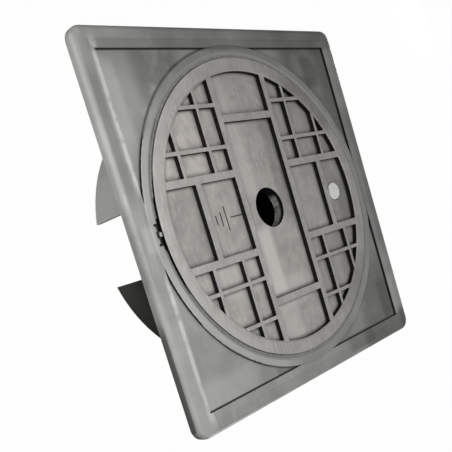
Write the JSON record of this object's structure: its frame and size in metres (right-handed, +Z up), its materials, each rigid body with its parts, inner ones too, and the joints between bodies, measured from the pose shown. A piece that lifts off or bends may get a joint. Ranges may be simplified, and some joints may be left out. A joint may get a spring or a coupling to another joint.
{
  "type": "inspection chamber",
  "caption": "Square moulded surround with a round hinged lid, a ribbed top pattern, a central through hole, a quarter-turn lock and curved anchoring legs below.",
  "frame": {"origin": "centre of the ring of legs, on the plane of the feet", "axes": "+Z up out of the lid, -X to the hinge, +X to the lock"},
  "size_m": [0.254, 0.254, 0.073],
  "materials": {
    "surround_plastic": "grey moulded plastic, satin",
    "lid_plastic": "grey moulded plastic, matt",
    "black_steel": "blackened steel",
    "white_plastic": "white moulded plastic",
    "zinc_steel": "zinc-plated steel"
  },
  "bodies": {
    "surround": {"frame": "surround_plastic", "hinge_pin": "black_steel"},
    "cover": {"lid": "lid_plastic"},
    "lock": {"lock_head": "white_plastic", "lock_cam": "zinc_steel", "lock_washer": "zinc_steel", "lock_screw": "zinc_steel"}
  },
  "joints": [
    {"name": "lid_hinge", "type": "hinge", "parent": "surround", "child": "cover", "pos_m": [-0.1085, 0, 0.0709], "axis": [0, -1, 0], "range_deg": [0, 95]},
    {"name": "lock_turn", "type": "hinge", "parent": "cover", "child": "lock", "pos_m": [0.0794, 0, 0.069], "axis": [0, 0, -1], "range_deg": [0, 90]}
  ]
}
